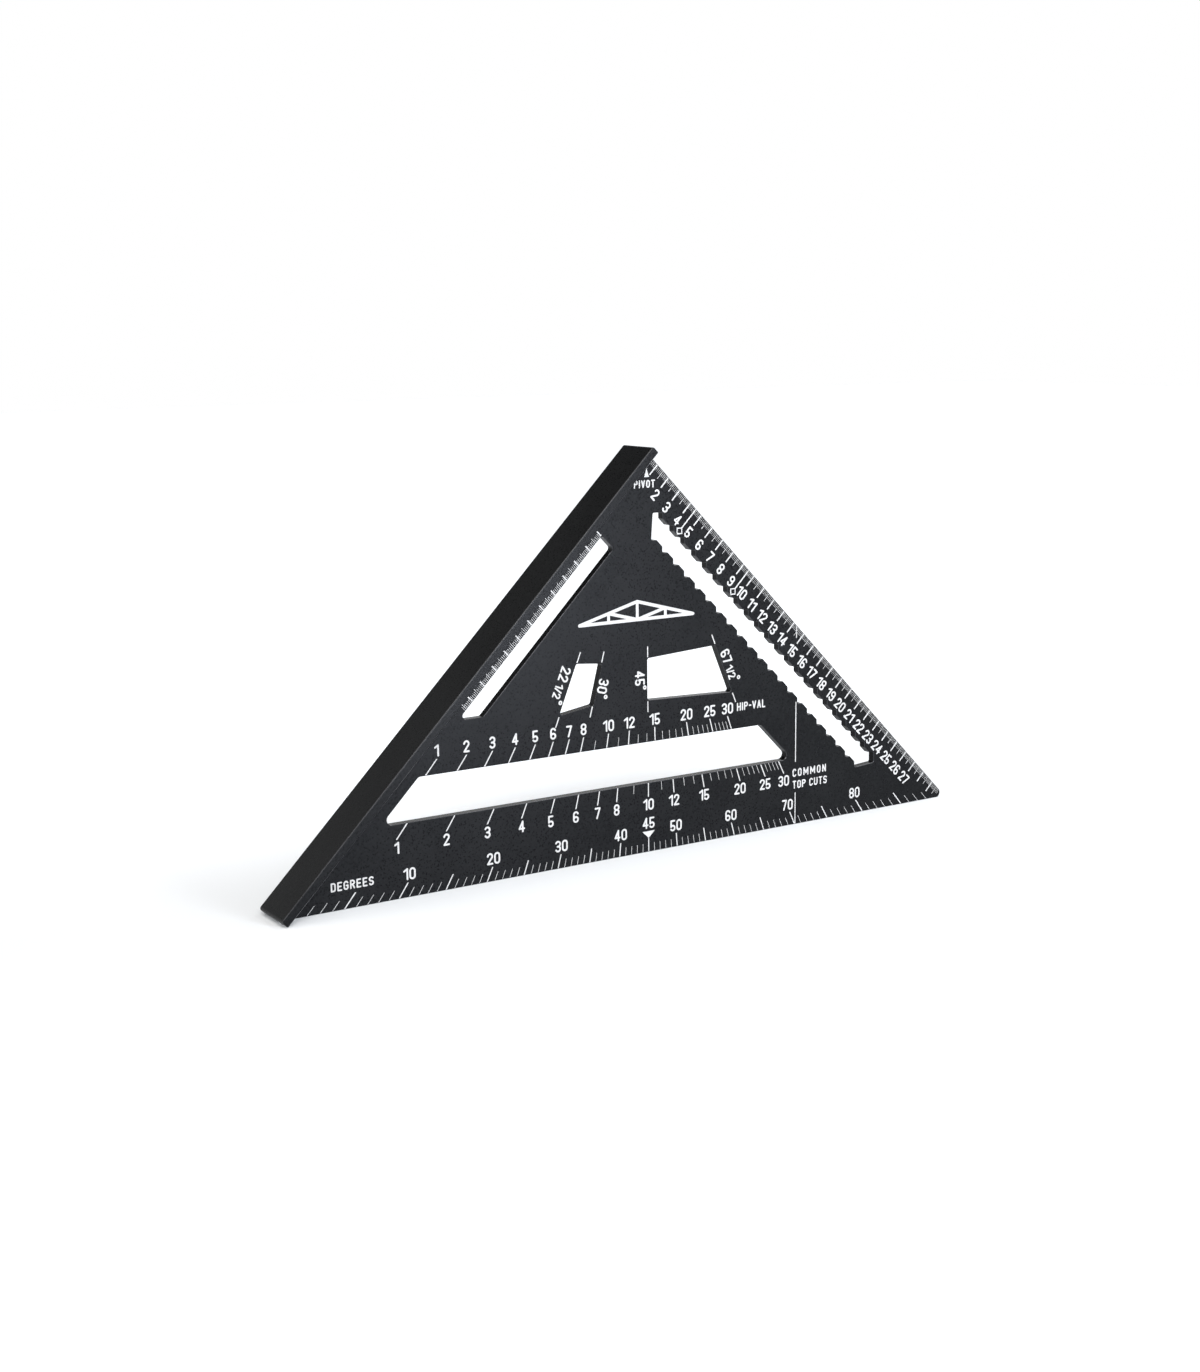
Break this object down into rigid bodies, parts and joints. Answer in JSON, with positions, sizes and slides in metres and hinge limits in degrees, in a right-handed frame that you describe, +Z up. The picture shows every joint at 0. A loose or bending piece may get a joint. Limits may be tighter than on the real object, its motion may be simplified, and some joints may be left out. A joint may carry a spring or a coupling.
{
  "type": "speed square",
  "caption": "Right-triangle rafter square: a slotted, graduated metal blade let into a T-shaped fence along one leg, stood on its long edge.",
  "frame": {"origin": "middle of the long edge, midway through the blade's thickness", "axes": "+Z up from the long edge to the pivot corner, +X along the long edge towards the ruler's tip, -Y out of the marked face"},
  "size_m": [0.4293, 0.0274, 0.2179],
  "materials": {
    "black_anodised_aluminium": "satin black anodised over a finely blasted surface",
    "white_marking": "matt white printed enamel"
  },
  "bodies": {
    "root": {"blade": "black_anodised_aluminium", "fence": "black_anodised_aluminium", "ruler_millimetre_lines": "white_marking", "ruler_half_centimetre_lines": "white_marking", "ruler_centimetre_lines": "white_marking", "ruler_figures": "white_marking", "stud_width_marks": "white_marking", "fence_slot_millimetre_lines": "white_marking", "fence_slot_half_centimetre_lines": "white_marking", "fence_slot_centimetre_lines": "white_marking", "degree_lines": "white_marking", "degree_figures": "white_marking", "centre_mark": "white_marking", "hip_valley_lines": "white_marking", "hip_valley_figures": "white_marking", "common_rafter_lines": "white_marking", "common_rafter_figures": "white_marking", "plumb_line": "white_marking", "window_ray_dashes": "white_marking", "window_angle_figures": "white_marking", "pivot_arrow": "white_marking", "scale_names": "white_marking", "roof_emblem": "white_marking"}
  },
  "joints": []
}
